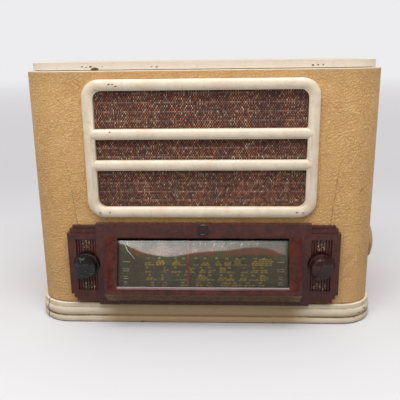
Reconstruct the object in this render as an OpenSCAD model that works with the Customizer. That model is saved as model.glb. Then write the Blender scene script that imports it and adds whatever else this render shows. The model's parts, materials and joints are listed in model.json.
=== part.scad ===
// Table radio with a leatherette-covered cabinet and a bakelite escutcheon.
// +Z is up and the front faces -Y. The origin is the centre of the underside.
// "Out" is a distance in front of the cabinet's front face, so a negative out is inside.

/* [Cabinet] */
// Width over the covering
body_w = 430; // [420:1:445]
// Depth of the cabinet
body_d = 225; // [220:1:245]
// Height of the side walls
wall_h = 318.6; // [314:0.1:330]
// Radius of the two front corners
corner_r = 39; // [34:1:44]
// Thickness of the plywood walls
wall_t = 9; // [7:0.5:10]
// Thickness of the leatherette covering
skin_t = 1; // [0.6:0.1:1.5]
// Thickness of the painted top slab
slab_t = 8.4; // [6:0.1:12]
// Height of the plinth moulding
plinth_h = 26.4; // [24:0.2:30]

/* [Grille] */
// Width of the grille frame
grille_w = 279.2; // [270:0.2:286]
// Height of the grille frame
grille_h = 167; // [160:0.2:170]
// Height of the grille frame's centre above the floor
grille_z = 226.9; // [224:0.1:230]
// How far right of the centre line the grille frame sits
grille_x = -1.4; // [-3:0.1:3]
// Width of the frame's outer bars
grille_bar = 13; // [11:0.2:15]
// How far the frame stands out
grille_out = 8; // [6:0.5:10]

/* [Dial and controls] */
// Distance of each front knob from the centre line
knob_x = 147; // [145:0.5:149]
// Height of the front knobs' axes
knob_z = 82; // [80:0.5:84]
// Radius of a front knob's skirt
knob_r = 15.5; // [14:0.1:16.5]
// Distance of the side knob's axis behind the front face
wave_back = 92; // [86:1:100]
// Radius of the side knob
wave_knob_r = 25.5; // [20:0.5:26]
// Pointer travel from end to end of the scale
pointer_travel = 176; // [150:1:178]
// Place of the pointer on the scale at rest
pointer_x = -18.5; // [-60:0.5:60]

/* [Hidden] */

$fn = 96;
eps = 0.01;
front_y = -body_d / 2;
back_y = body_d / 2;
half_w = body_w / 2;
corner_x = half_w - corner_r;
corner_y = front_y + corner_r;
inner_x = half_w - skin_t - wall_t;
panel_back = -skin_t - wall_t;
block_in_r = corner_r - skin_t - 16;
board_t = 12;
runner_h = 22;
trim_t = 1.7;
gap_t = 0.8;
joint_gap = 0.6;
slab_z = wall_h + trim_t + gap_t;
slab_inset = 5;
slab_side_inset = 6.8;
top_board_t = slab_z - wall_h + 8;
skin_low = 2;
grille_crown = 2.6;

shaft_r = 3;
running = 0.05;
knob_fit = 0.02;
shaft_hole_r = 6;

speaker_z = 228;
speaker_hole_r = 71;
dial_hole_x = 113;
dial_hole_low = 47;
dial_hole_high = 128;

// Escutcheon outline and tiers
plate_out = 8;
wing_x = 169.8;
wing_low = 41.6;
wing_high = 123.2;
centre_x = 133.8;
centre_low = 26.8;
centre_high = 135.3;

// The slanted dial housing, as a slope from its low edge to its high edge
rim_low = [30, 55];
rim_high = [9, 118];
rim_len = norm(rim_high - rim_low);
rim_up = (rim_high - rim_low) / rim_len;
rim_in = [-rim_up[1], rim_up[0]];
housing_x = 121.5;
opening_x = 106.5;

// Chassis and what stands on it
chassis_x = 172;
chassis_front = front_y + 44;
chassis_d = 140;
chassis_low = board_t + runner_h;
chassis_high = 100;
sheet = 1.2;
flange = 12;
wave_y = front_y + wave_back;
wave_z = knob_z + 1.2;
runner_x = 130;
runner_w = 20;
bolt_y = [chassis_front + 6, chassis_front + chassis_d - 6];

// Tuning drive: spindle, drum and gang capacitor
drum_at = [100, 128];
drum_cord_r = pointer_travel / PI;
drum_flange_r = drum_cord_r + 2;
spindle_r = 5;
drum_out = -22;
run_out = -16.5;
rail_out = -14;
rail_z = 117;
rail_r = 1.5;
run_z = 122.3;
cord_r = 0.4;
cord_gap = 0.3;
pulley_x = 123;
pulley_r = 5.5;
bend_r = pulley_r + cord_gap + cord_r;
drum_turn_r = drum_cord_r + cord_r;
pulley_high_z = run_z - bend_r;
pulley_low_z = drum_at[1] - drum_turn_r + bend_r;
lamp_x = 103;
lamp_z = 123.5;
lamp_cap_r = 3.4;
gang_front = front_y + 50;
gang_len = 68;
plate_t = 0.8;
plate_pitch = 3.2;
plate_r = 21;
gang_plates = 5;

// Valve places on the chassis: mixer, IF, detector, output, rectifier
valve_at = [[70, 38], [20, 40], [-30, 40], [-80, 45], [-130, 48]];
valve_r = [15, 14, 14, 17, 17];
valve_h = [66, 62, 62, 78, 74];
base_r = 16;
base_h = 16;

// Back panel
back_t = 3.5;
back_x = half_w - 3;
back_low = 14;
back_high = wall_h - 3;
inlet_x = -150;
inlet_z = 62;
inlet_r = 4;
terminal_x = 120;
terminal_w = 44;
terminal_h = 20;

// ---------- helpers ----------

// Stands a shape drawn in (x, z) out from the front face between two distances.
module stand_out(from, to) {
    translate([0, front_y - from, 0])
        rotate([90, 0, 0])
            linear_extrude(to - from)
                children();
}

// Carries a section drawn in (out, z) across the cabinet from one x to another.
module across(from, to) {
    translate([from, front_y, 0])
        mirror([0, 1, 0])
            rotate([90, 0, 90])
                linear_extrude(to - from)
                    children();
}

// A cylinder along Y, from one distance out to a greater one.
module rod_out(x, z, from, to, r) {
    translate([x, front_y - from, z])
        rotate([90, 0, 0])
            cylinder(r = r, h = to - from);
}

module box_out(x0, x1, z0, z1, from, to) {
    translate([x0, front_y - to, z0])
        cube([x1 - x0, to - from, z1 - z0]);
}

module round_rect(w, h, r) {
    square([w - 2 * r, h], center = true);
    square([w, h - 2 * r], center = true);
    for (sx = [-1, 1], sz = [-1, 1])
        translate([sx * (w / 2 - r), sz * (h / 2 - r)])
            circle(r);
}

// Cabinet plan with round front corners, drawn in by an inset.
module plan(inset) {
    translate([-half_w + inset, corner_y])
        square([body_w - 2 * inset, body_d - corner_r]);
    translate([-corner_x, front_y + inset])
        square([2 * corner_x, corner_r]);
    for (side = [-1, 1])
        translate([side * corner_x, corner_y])
            circle(corner_r - inset);
}

// Plan of the top slab, set further in at the sides than at the front.
module slab_plan() {
    half = half_w - slab_side_inset;
    r = corner_r - slab_inset;
    translate([-half, corner_y])
        square([2 * half, body_d - corner_r]);
    translate([-half + r, corner_y - r])
        square([2 * (half - r), corner_r]);
    for (side = [-1, 1])
        translate([side * (half - r), corner_y])
            circle(r);
}

// What the cabinet's skin or walls close in, open at the back.
module inside_plan(inset) {
    plan(inset);
    translate([-half_w + inset, 0])
        square([body_w - 2 * inset, back_y + 1]);
}

// The plan left inside the plywood walls.
module inner_plan() {
    fit = 0.1;
    translate([-inner_x + fit, corner_y])
        square([2 * (inner_x - fit), body_d - corner_r]);
    translate([-corner_x + fit, front_y - panel_back + fit])
        square([2 * (corner_x - fit), corner_r]);
    for (side = [-1, 1])
        translate([side * corner_x, corner_y])
            circle(block_in_r - fit);
}

// Point on the dial housing: up the slope, and in from its face.
function on_slope(up, inward) = rim_low + rim_up * up + rim_in * inward;

// Section of a sheet that lies parallel to the housing's face.
module slope_sheet(up0, up1, in0, in1) {
    polygon([on_slope(up0, in0), on_slope(up1, in0), on_slope(up1, in1), on_slope(up0, in1)]);
}

// Points round an axis along Y, from one angle to another, drifting from one distance out to another.
function turn_points(x, z, r, a0, a1, out0, out1, steps) = [
    for (i = [0:steps])
        let (a = a0 + (a1 - a0) * i / steps, out = out0 + (out1 - out0) * i / steps)
            [x + r * cos(a), front_y - out, z + r * sin(a)]];

// Ring of points round one point of a route, square to the route there.
function tube_ring(before, at, after, r, sides) =
    let (t = (after - before) / norm(after - before),
         u = cross([0, 1, 0], t) / norm(cross([0, 1, 0], t)),
         v = cross(t, u))
        [for (j = [0:sides - 1]) at + r * (cos(j * 360 / sides) * u + sin(j * 360 / sides) * v)];

// Endless tube along a closed route.
module closed_tube(route, r, sides) {
    n = len(route);
    points = [
        for (i = [0:n - 1])
            each tube_ring(route[(i + n - 1) % n], route[i], route[(i + 1) % n], r, sides)];
    faces = [
        for (i = [0:n - 1], j = [0:sides - 1])
            let (k = (i + 1) % n, m = (j + 1) % sides)
                [i * sides + j, k * sides + j, k * sides + m, i * sides + m]];
    polyhedron(points = points, faces = faces, convexity = 10);
}

// ---------- cabinet ----------

module bottom_board() {
    counterbore = 5.5;
    color("burlywood")
        difference() {
            linear_extrude(board_t)
                inner_plan();
            for (side = [-1, 1], y = bolt_y)
                translate([side * runner_x, y, -eps]) {
                    cylinder(r = 2.3, h = board_t + 1);
                    cylinder(r = 5, h = counterbore);
                }
        }
}

module front_panel() {
    color("burlywood")
        stand_out(panel_back, -skin_t)
            difference() {
                translate([-corner_x, 0])
                    square([2 * corner_x, wall_h]);
                translate([0, speaker_z])
                    circle(speaker_hole_r);
                translate([-dial_hole_x, dial_hole_low])
                    square([2 * dial_hole_x, dial_hole_high - dial_hole_low]);
                for (side = [-1, 1])
                    translate([side * knob_x, knob_z])
                        circle(shaft_hole_r);
            }
}

module side_board() {
    translate([half_w - skin_t - wall_t, corner_y, 0])
        cube([wall_t, body_d - corner_r, wall_h]);
}

module side_panel_left() {
    color("burlywood")
        mirror([1, 0, 0])
            side_board();
}

module side_panel_right() {
    color("burlywood")
        difference() {
            side_board();
            wave_hole();
        }
}

// Hole for the side knob's shaft through the right wall.
module wave_hole() {
    translate([inner_x - 5, wave_y, wave_z])
        rotate([0, 90, 0])
            cylinder(r = shaft_hole_r, h = 30);
}

module corner_block() {
    translate([corner_x, corner_y, 0])
        rotate([0, 0, -90])
            rotate_extrude(angle = 90)
                translate([block_in_r, 0])
                    square([corner_r - skin_t - block_in_r, wall_h]);
}

module corner_block_left() {
    color("tan")
        mirror([1, 0, 0])
            corner_block();
}

module corner_block_right() {
    color("tan")
        corner_block();
}

module top_board() {
    color("burlywood")
        translate([0, 0, slab_z - top_board_t])
            linear_extrude(top_board_t)
                inner_plan();
}

module top_slab() {
    color("antiquewhite")
        translate([0, 0, slab_z])
            linear_extrude(slab_t)
                slab_plan();
}

module top_trim() {
    color("antiquewhite")
        translate([0, 0, wall_h])
            linear_extrude(trim_t)
                difference() {
                    plan(0);
                    inside_plan(skin_t + wall_t);
                }
}

// Covering wrapped round the left side, the front and the right side.
module leatherette_cover() {
    color("peru")
        difference() {
            translate([0, 0, skin_low])
                linear_extrude(wall_h - skin_low)
                    difference() {
                        plan(0);
                        inside_plan(skin_t);
                    }
            stand_out(-skin_t - 1, 1) {
                translate([grille_x, grille_z])
                    square([grille_w - grille_bar, grille_h - grille_bar], center = true);
                translate([-dial_hole_x, dial_hole_low])
                    square([2 * dial_hole_x, dial_hole_high - dial_hole_low]);
                for (side = [-1, 1])
                    translate([side * knob_x, knob_z])
                        circle(shaft_hole_r);
            }
            wave_hole();
        }
}

// ---------- plinth ----------

// Moulding section: out from the wall against height.
module plinth_section() {
    ground_t = 3;
    round_r = 1.4;
    bead_r = 9.4;
    bead_z = 15;
    bead_t = 5;
    bead_low = 9.4;
    bead_high = 20.6;
    foot_r = 9.4;
    foot_z = 4.2;
    foot_t = 5.2;
    foot_high = 8.6;
    square([ground_t, plinth_h - round_r]);
    translate([ground_t - round_r, plinth_h - round_r])
        circle(round_r);
    square([ground_t - round_r, plinth_h]);
    intersection() {
        translate([bead_t - bead_r, bead_z])
            circle(bead_r);
        translate([0, bead_low])
            square([10, bead_high - bead_low]);
    }
    intersection() {
        translate([foot_t - foot_r, foot_z])
            circle(foot_r);
        square([10, foot_high]);
    }
    square([4.2, 3]);
}

// The moulding's section, turned from the right side's end round the front corner.
module plinth_turn(angle) {
    rotate_extrude(angle = angle)
        translate([corner_r, 0])
            plinth_section();
}

// The front length runs half-way round both corners, to the joints.
module plinth_front() {
    color("antiquewhite") {
        across(-corner_x, corner_x)
            plinth_section();
        for (side = [0, 1])
            mirror([side, 0, 0])
                translate([corner_x, corner_y, 0])
                    rotate([0, 0, -90])
                        plinth_turn(45 - joint_gap);
    }
}

module plinth_side() {
    translate([half_w, back_y, 0])
        rotate([90, 0, 0])
            linear_extrude(body_d - corner_r)
                plinth_section();
    translate([corner_x, corner_y, 0])
        mirror([0, 1, 0])
            plinth_turn(45 - joint_gap);
}

module plinth_side_left() {
    color("antiquewhite")
        mirror([1, 0, 0])
            plinth_side();
}

module plinth_side_right() {
    color("antiquewhite")
        plinth_side();
}

// ---------- grille ----------

// Bar section: across the bar against how far it stands out, with a shallow crown.
module bar_section(w) {
    crown_r = (w * w / 4 + grille_crown * grille_crown) / (2 * grille_crown);
    intersection() {
        translate([-w / 2, 0])
            square([w, grille_out]);
        translate([0, grille_out - crown_r])
            circle(crown_r);
    }
    translate([-w / 2, 0])
        square([w, grille_out - grille_crown]);
}

// A straight bar that runs along local X on the front face.
module bar(len, w) {
    rotate([90, 0, 90])
        translate([0, 0, -len / 2])
            linear_extrude(len)
                bar_section(w);
}

// Fills the inner corner of a window, seen as its top right corner.
module window_fillet(r) {
    linear_extrude(grille_out - grille_crown)
        difference() {
            translate([-r, -r])
                square(r + 1);
            translate([-r, -r])
                circle(r);
        }
}

module grille_frame() {
    outer_r = 21;
    mid_r = outer_r - grille_bar / 2;
    run_w = grille_w - 2 * outer_r;
    run_h = grille_h - 2 * outer_r;
    cross_bar = 12.4;
    cross_low = -18.4;
    cross_high = 19.3;
    inner_w = grille_w / 2 - grille_bar;
    inner_h = grille_h / 2 - grille_bar;
    corner_fillet = 10;
    bar_fillet = 2.5;
    tops = [[inner_h, corner_fillet], [cross_high - cross_bar / 2, bar_fillet],
            [cross_low - cross_bar / 2, bar_fillet]];
    feet = [[-inner_h, corner_fillet], [cross_high + cross_bar / 2, bar_fillet],
            [cross_low + cross_bar / 2, bar_fillet]];
    color("antiquewhite")
        translate([grille_x, front_y, grille_z])
            rotate([90, 0, 0]) {
                for (side = [-1, 1]) {
                    translate([0, side * (grille_h - grille_bar) / 2, 0])
                        bar(run_w, grille_bar);
                    translate([side * (grille_w - grille_bar) / 2, 0, 0])
                        rotate([0, 0, 90])
                            bar(run_h, grille_bar);
                }
                for (quarter = [0:3])
                    translate([(quarter == 0 || quarter == 3 ? 1 : -1) * run_w / 2,
                               (quarter < 2 ? 1 : -1) * run_h / 2, 0])
                        rotate([0, 0, quarter * 90])
                            rotate_extrude(angle = 90)
                                translate([mid_r, 0])
                                    bar_section(grille_bar);
                for (z = [cross_low, cross_high])
                    translate([0, z, 0])
                        bar(grille_w - grille_bar, cross_bar);
                for (side = [-1, 1], i = [0:2]) {
                    translate([side * inner_w, tops[i][0], 0])
                        rotate([0, 0, side > 0 ? 0 : 90])
                            window_fillet(tops[i][1]);
                    translate([side * inner_w, feet[i][0], 0])
                        rotate([0, 0, side > 0 ? 270 : 180])
                            window_fillet(feet[i][1]);
                }
            }
}

module grille_cloth() {
    fit = 0.3;
    color("saddlebrown")
        stand_out(-skin_t, -0.1)
            translate([grille_x, grille_z])
                square([grille_w - grille_bar - fit, grille_h - grille_bar - fit], center = true);
}

// Two panel pins whose heads show at the frame's lower corners.
module grille_pins() {
    pin_x = 124;
    pin_z = grille_z - grille_h / 2 + grille_bar / 2;
    color("gray")
        for (side = [-1, 1])
            rod_out(grille_x + side * pin_x, pin_z, grille_out, grille_out + 0.5, 1.3);
}

// ---------- escutcheon and dial ----------

module escutcheon_outline() {
    step_x = [166.2, 162.7];
    step_z = [36.3, 32];
    translate([-wing_x, wing_low])
        square([2 * wing_x, wing_high - wing_low]);
    for (i = [0, 1])
        translate([-step_x[i], step_z[i]])
            square([2 * step_x[i], wing_low + 1 - step_z[i]]);
    translate([-centre_x, centre_low])
        square([2 * centre_x, centre_high - centre_low]);
}

module escutcheon() {
    tier_x = [163.5, 166.8];
    tier_high = [132.6, 128.8];
    tier_out = [4, 6];
    recess_half = 12.6;
    recess_low = 47;
    recess_high = 115.2;
    recess_out = 5;
    well_r = 17.2;
    well_out = 4.5;
    reeds = 7;
    reed_pitch = 3.55;
    reed_r = 1.6;
    color([0.28, 0.15, 0.14])
        difference() {
            union() {
                difference() {
                    union() {
                        stand_out(0, plate_out)
                            escutcheon_outline();
                        for (i = [0, 1])
                            box_out(-tier_x[i], tier_x[i], wing_high - 1, tier_high[i], 0, tier_out[i]);
                    }
                    for (side = [-1, 1])
                        box_out(side * knob_x - recess_half, side * knob_x + recess_half,
                                recess_low, recess_high, recess_out, plate_out + 1);
                }
                for (side = [-1, 1], i = [0:reeds - 1])
                    translate([side * knob_x + (i - (reeds - 1) / 2) * reed_pitch,
                               front_y - recess_out, recess_low])
                        cylinder(r = reed_r, h = recess_high - recess_low, $fn = 24);
                housing();
            }
            for (side = [-1, 1]) {
                rod_out(side * knob_x, knob_z, well_out, plate_out + 1, well_r);
                rod_out(side * knob_x, knob_z, -1, plate_out, shaft_hole_r);
            }
            housing_hollow();
        }
}

// Wedge that carries the slanted dial: rim face, low edge and the sill under it.
module housing() {
    sill_low = [9.5, 31.5];
    edge_low = [30, 50.6];
    across(-housing_x, housing_x)
        polygon([[plate_out - 1, rim_high[1]], rim_high, rim_low, edge_low, sill_low,
                 [plate_out - 1, sill_low[1]]]);
}

module housing_hollow() {
    low_lip = 5.6;
    lip_fall = 3.4;
    lip_in = 1.8;
    pocket_x = 112;
    pocket_low = 39;
    across(-opening_x, opening_x)
        slope_sheet(low_lip, rim_len - 0.5, -2, 5);
    across(-opening_x, opening_x)
        polygon([on_slope(low_lip - lip_fall, 0), on_slope(low_lip, lip_in), on_slope(low_lip + 1, lip_in),
                 on_slope(low_lip + 1, -1), on_slope(low_lip - lip_fall, -1)]);
    across(-pocket_x, pocket_x)
        polygon([on_slope(2, 4), on_slope(rim_len + 2, 4), [2.5, 124], [-1, 124],
                 [-1, pocket_low], [12, pocket_low]]);
}

// Plain round boss on the top panel.
module emblem_disc() {
    color([0.24, 0.12, 0.12])
        translate([0.5, front_y - plate_out, 127.6])
            rotate([90, 0, 0])
                rotate_extrude()
                    polygon([[0, 0], [7.6, 0], [7.6, 0.5], [7, 1.1], [5.6, 1.1], [5.2, 0.7], [0, 1]]);
}

module dial_window() {
    color([0.8, 0.82, 0.8, 0.35])
        across(-111.5, 111.5)
            slope_sheet(2.6, 67.6, 4.05, 4.85);
}

module dial_scale() {
    color([0.2, 0.22, 0.18])
        across(-110, 110)
            slope_sheet(1.5, 62, 12, 12.8);
}

// Steel frame behind the panel: carries the scale plate, the pointer rail and the pulleys.
module dial_frame() {
    plate_back = panel_back - sheet;
    ear_x = 114;
    outer_x = 131;
    window_x = dial_hole_x - 2;
    window_high = 123.5;
    gusset_x = 96;
    gusset_low = 117.5;
    cheek_low = 52;
    cheek_high = 106;
    color("silver") {
        difference() {
            stand_out(plate_back, panel_back) {
                difference() {
                    translate([-outer_x, 38])
                        square([2 * outer_x, 98]);
                    translate([-window_x, dial_hole_low + 2])
                        square([2 * window_x, window_high - dial_hole_low - 2]);
                }
                for (side = [-1, 1])
                    translate([side > 0 ? gusset_x : -window_x, gusset_low])
                        square([window_x - gusset_x, 8]);
            }
            drive_stud_holes();
            for (side = [-1, 1])
                rod_out(side * lamp_x, lamp_z, plate_back - 1, panel_back + 1, lamp_cap_r);
        }
        for (side = [-1, 1]) {
            box_side(side, 110.1, 111.3, cheek_low, cheek_high, plate_back, 3);
            box_side(side, 110.1, 111.3, cheek_low, cheek_low + 10, 3 - eps, 12);
            difference() {
                box_side(side, ear_x, ear_x + sheet, 111, 122, -18, plate_back + eps);
                rail_bore();
            }
        }
    }
}

module rail_bore() {
    translate([-120, front_y - rail_out, rail_z])
        rotate([0, 90, 0])
            cylinder(r = rail_r + knob_fit, h = 240);
}

// A box on the left or the right side, given by its distances from the centre line.
module box_side(side, x0, x1, z0, z1, from, to) {
    a = side > 0 ? x0 : -x1;
    box_out(a, a + x1 - x0, z0, z1, from, to);
}

module drive_stud_holes() {
    for (x = [-pulley_x, pulley_x])
        rod_out(x, pulley_high_z, panel_back - 3, panel_back + 1, 1.5);
    rod_out(-pulley_x, pulley_low_z, panel_back - 3, panel_back + 1, 1.5);
}

module pointer_rail() {
    color("silver")
        translate([-(114 + sheet), front_y - rail_out, rail_z])
            rotate([0, 90, 0])
                cylinder(r = rail_r, h = 2 * (114 + sheet));
}

module dial_pointer() {
    half = 1.2;
    block_half = 5;
    arm_low = 111.9;
    arm_high = 113.3;
    color("firebrick")
        difference() {
            union() {
                across(pointer_x - half, pointer_x + half)
                    slope_sheet(4, 61, 8, 8.6);
                box_out(pointer_x - half, pointer_x + half, 109.5, arm_high, 2.2, 3);
                box_out(pointer_x - half, pointer_x + half, arm_low, arm_high, rail_out - 1, 3);
                box_out(pointer_x - block_half, pointer_x + block_half, arm_low, run_z - cord_r - cord_gap,
                        rail_out - 3, rail_out + 3);
            }
            translate([pointer_x - block_half - 1, front_y - rail_out, rail_z])
                rotate([0, 90, 0])
                    cylinder(r = rail_r + running, h = 2 * block_half + 2);
        }
}

// Two small lamps that light the scale from its upper corners.
module dial_lamps() {
    bulb_r = 4;
    bulb_out = -5.5;
    color("ivory")
        for (side = [-1, 1]) {
            rod_out(side * lamp_x, lamp_z, -9.5, bulb_out, bulb_r);
            translate([side * lamp_x, front_y - bulb_out, lamp_z])
                sphere(r = bulb_r);
            rod_out(side * lamp_x, lamp_z, -13, -9.5, lamp_cap_r);
        }
}

module dial_drum() {
    groove_half = 1.5;
    flange_t = 1.5;
    hub_r = 9;
    web_t = 2;
    spokes = 4;
    color("lightgray")
        translate([drum_at[0], front_y - drum_out, drum_at[1]])
            rotate([90, 0, 0])
                difference() {
                    union() {
                        translate([0, 0, -groove_half])
                            cylinder(r = drum_cord_r - 0.5, h = 2 * groove_half);
                        for (s = [-1, 1])
                            translate([0, 0, s * (groove_half + flange_t / 2) - flange_t / 2])
                                cylinder(r = drum_flange_r, h = flange_t);
                        translate([0, 0, -groove_half - flange_t - 6])
                            cylinder(r = hub_r, h = 6 + eps);
                    }
                    translate([0, 0, web_t / 2])
                        cylinder(r = drum_cord_r - 6, h = 10);
                    translate([0, 0, -10 - web_t / 2])
                        difference() {
                            cylinder(r = drum_cord_r - 6, h = 10);
                            translate([0, 0, -1])
                                cylinder(r = hub_r, h = 12);
                        }
                    for (i = [0:spokes - 1])
                        rotate([0, 0, 45 + i * 360 / spokes])
                            translate([30, 0, -15])
                                cylinder(r = 13, h = 30);
                    translate([0, 0, -20])
                        cylinder(r = shaft_r + knob_fit, h = 40);
                }
}

module pulley(x, z, out) {
    rod_out(x, z, out - 1.8, out + 1.8, pulley_r);
    for (s = [-1, 1])
        rod_out(x, z, out + s * 1.4 - 0.5, out + s * 1.4 + 0.5, pulley_r + 1.6);
    rod_out(x, z, out - 3, panel_back, 1.4);
}

module dial_pulleys() {
    color("goldenrod") {
        for (x = [-pulley_x, pulley_x])
            pulley(x, pulley_high_z, run_out);
        pulley(-pulley_x, pulley_low_z, drum_out);
    }
}

// Endless drive cord: round the drum and the spindle, then over three pulleys along the pointer's run.
module dial_cord() {
    spindle_turn_r = spindle_r + cord_gap + cord_r;
    spread = 0.7;
    span = norm([drum_at[0] - knob_x, drum_at[1] - knob_z]);
    toward_drum = atan2(drum_at[1] - knob_z, drum_at[0] - knob_x);
    low_touch = toward_drum + acos((spindle_turn_r - drum_turn_r) / span);
    high_touch = atan2(pulley_high_z - knob_z, pulley_x - knob_x) - 90;
    spindle_turns = 2;
    color("khaki")
        closed_tube(concat(
            turn_points(drum_at[0], drum_at[1], drum_turn_r, -90, low_touch, drum_out + spread,
                        drum_out - spread, 26),
            turn_points(knob_x, knob_z, spindle_turn_r, low_touch, high_touch + 360 * (spindle_turns + 1),
                        drum_out - spread, run_out, 42),
            turn_points(pulley_x, pulley_high_z, bend_r, high_touch, 90, run_out, run_out, 4),
            turn_points(-pulley_x, pulley_high_z, bend_r, 90, 180, run_out, run_out, 5),
            turn_points(-pulley_x, pulley_low_z, bend_r, 180, 270, drum_out, drum_out + spread, 5)),
            cord_r, 8);
}

// ---------- knobs and shafts ----------

// Front knob along local Z: skirt, tapered body, domed face and a broad ridge across it.
module front_knob(lean) {
    skirt_t = 3.5;
    body_r = 12.9;
    body_h = 13;
    dome_r = 26;
    ridge_w = 7.5;
    ridge_h = 17.3;
    difference() {
        union() {
            cylinder(r = knob_r, h = skirt_t);
            rotate_extrude()
                intersection() {
                    polygon([[0, 0], [knob_r - 0.6, 0], [knob_r - 0.6, skirt_t],
                             [body_r, body_h], [0, body_h + 4]]);
                    translate([0, body_h + 2.6 - dome_r])
                        circle(dome_r, $fn = 180);
                }
            rotate([0, 0, 90 - lean])
                intersection() {
                    translate([-knob_r, -ridge_w / 2, 0])
                        cube([2 * knob_r, ridge_w, ridge_h]);
                    cylinder(r = knob_r - 0.3, h = ridge_h);
                    translate([0, 0, ridge_h - 40])
                        sphere(r = 40);
                }
        }
        translate([0, 0, -1])
            cylinder(r = shaft_r + knob_fit, h = 12);
    }
}

module place_front_knob(x) {
    translate([x, front_y - plate_out - 0.8, knob_z])
        rotate([90, 0, 0])
            children();
}

module tuning_knob() {
    color([0.22, 0.12, 0.12])
        place_front_knob(knob_x)
            front_knob(22);
}

module volume_knob() {
    color([0.1, 0.1, 0.11])
        place_front_knob(-knob_x)
            front_knob(21);
}

module tuning_spindle() {
    color("silver") {
        rod_out(knob_x, knob_z, -60, plate_out + 11, shaft_r);
        rod_out(knob_x, knob_z, -26, -13, spindle_r);
    }
}

module volume_shaft() {
    color("silver")
        rod_out(-knob_x, knob_z, -56, plate_out + 11, shaft_r);
}

// Volume potentiometer with the mains switch on its back.
module volume_control() {
    color("gray")
        difference() {
            union() {
                rod_out(-knob_x, knob_z, -60, -44 - sheet, 13);
                rod_out(-knob_x, knob_z, -69, -60, 9);
                rod_out(-knob_x, knob_z, -46, -36, 4.9);
                rod_out(-knob_x, knob_z, -44, -41.5, 8.5);
            }
            rod_out(-knob_x, knob_z, -57, -30, shaft_r + running);
        }
}

module wave_knob() {
    start = half_w + 1.7;
    bore = 13;
    color([0.6, 0.48, 0.34])
        translate([start, wave_y, wave_z])
            rotate([0, 90, 0])
                difference() {
                    rotate_extrude()
                        polygon([[0, 0], [wave_knob_r - 2.5, 0], [wave_knob_r - 2.5, 1.6],
                                 [wave_knob_r, 2.4], [wave_knob_r, 10.4], [wave_knob_r - 1.4, 12],
                                 [wave_knob_r - 4.4, 13.4], [wave_knob_r - 9, 15], [0, 15.6]]);
                    translate([0, 0, -1])
                        cylinder(r = shaft_r + knob_fit, h = bore + 1);
                }
}

module wave_shaft() {
    color("silver")
        translate([134, wave_y, wave_z])
            rotate([0, 90, 0])
                cylinder(r = shaft_r, h = half_w + 14 - 134);
}

// Rotary wave-change switch: click plate, two wafers and their spacers.
module wave_switch() {
    wafer_r = 15;
    wall_x = chassis_x - sheet;
    color("peru")
        difference() {
            union() {
                for (x = [138, 152])
                    translate([x, wave_y, wave_z])
                        rotate([0, 90, 0])
                            cylinder(r = wafer_r, h = 2);
                translate([wall_x - 6, wave_y, wave_z])
                    rotate([0, 90, 0])
                        cylinder(r = wafer_r, h = 6);
                translate([wall_x - 1, wave_y, wave_z])
                    rotate([0, 90, 0])
                        cylinder(r = 4.9, h = 12);
                translate([chassis_x, wave_y, wave_z])
                    rotate([0, 90, 0])
                        cylinder(r = 8, h = 2.5);
                for (s = [-1, 1])
                    translate([138, wave_y + s * 11.5, wave_z])
                        rotate([0, 90, 0])
                            cylinder(r = 1.5, h = wall_x - 140);
            }
            translate([120, wave_y, wave_z])
                rotate([0, 90, 0])
                    cylinder(r = shaft_r + running, h = 80);
        }
}

// ---------- chassis ----------

module chassis() {
    low = chassis_low;
    high = chassis_high;
    color("silver")
        difference() {
            translate([-chassis_x, chassis_front, low])
                cube([2 * chassis_x, chassis_d, high - low]);
            translate([-chassis_x + sheet, chassis_front + sheet, low + sheet])
                cube([2 * (chassis_x - sheet), chassis_d - 2 * sheet, high - low - 2 * sheet]);
            translate([-chassis_x + sheet, chassis_front + flange, low - 1])
                cube([2 * (chassis_x - sheet), chassis_d - 2 * flange, 5]);
            rod_out(-knob_x, knob_z, -44 - sheet - 1, -43, 5);
            rod_out(knob_x, knob_z, -44 - sheet - 1, -43, shaft_r + running);
            translate([chassis_x - 4, wave_y, wave_z])
                rotate([0, 90, 0])
                    cylinder(r = 5, h = 8);
            for (at = valve_at)
                translate([at[0], at[1], high - 4])
                    cylinder(r = 13, h = 8);
            for (side = [-1, 1], y = bolt_y)
                translate([side * runner_x, y, low - 1])
                    cylinder(r = 2.3, h = 4);
        }
}

module chassis_runners() {
    color("burlywood")
        for (side = [-1, 1])
            difference() {
                translate([side * runner_x - runner_w / 2, chassis_front, board_t])
                    cube([runner_w, chassis_d, runner_h]);
                for (y = bolt_y)
                    translate([side * runner_x, y, 0])
                        cylinder(r = 2.3, h = 60);
            }
}

module chassis_bolts() {
    color("gray")
        for (side = [-1, 1], y = bolt_y)
            translate([side * runner_x, y, 2]) {
                cylinder(r = 4.2, h = 3.5, $fn = 6);
                cylinder(r = 2, h = 38);
                translate([0, 0, chassis_low + sheet - 2])
                    cylinder(r = 3.8, h = 3, $fn = 6);
            }
}

// ---------- gang capacitor ----------

module gang_frame() {
    wide = 56;
    high = 52;
    wall = 1.5;
    color("lightgray")
        difference() {
            union() {
                translate([drum_at[0] - wide / 2, gang_front, chassis_high])
                    cube([wide, gang_len, wall]);
                for (i = [0:2])
                    translate([drum_at[0] - wide / 2, gang_front + i * (gang_len - wall) / 2, chassis_high])
                        cube([wide, wall, high]);
            }
            translate([drum_at[0], gang_front - 1, drum_at[1]])
                rotate([-90, 0, 0])
                    cylinder(r = shaft_r + running, h = gang_len + 2);
        }
}

function section_start(i) = gang_front + 1.5 + i * (gang_len - 1.5) / 2 + 5;

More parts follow.
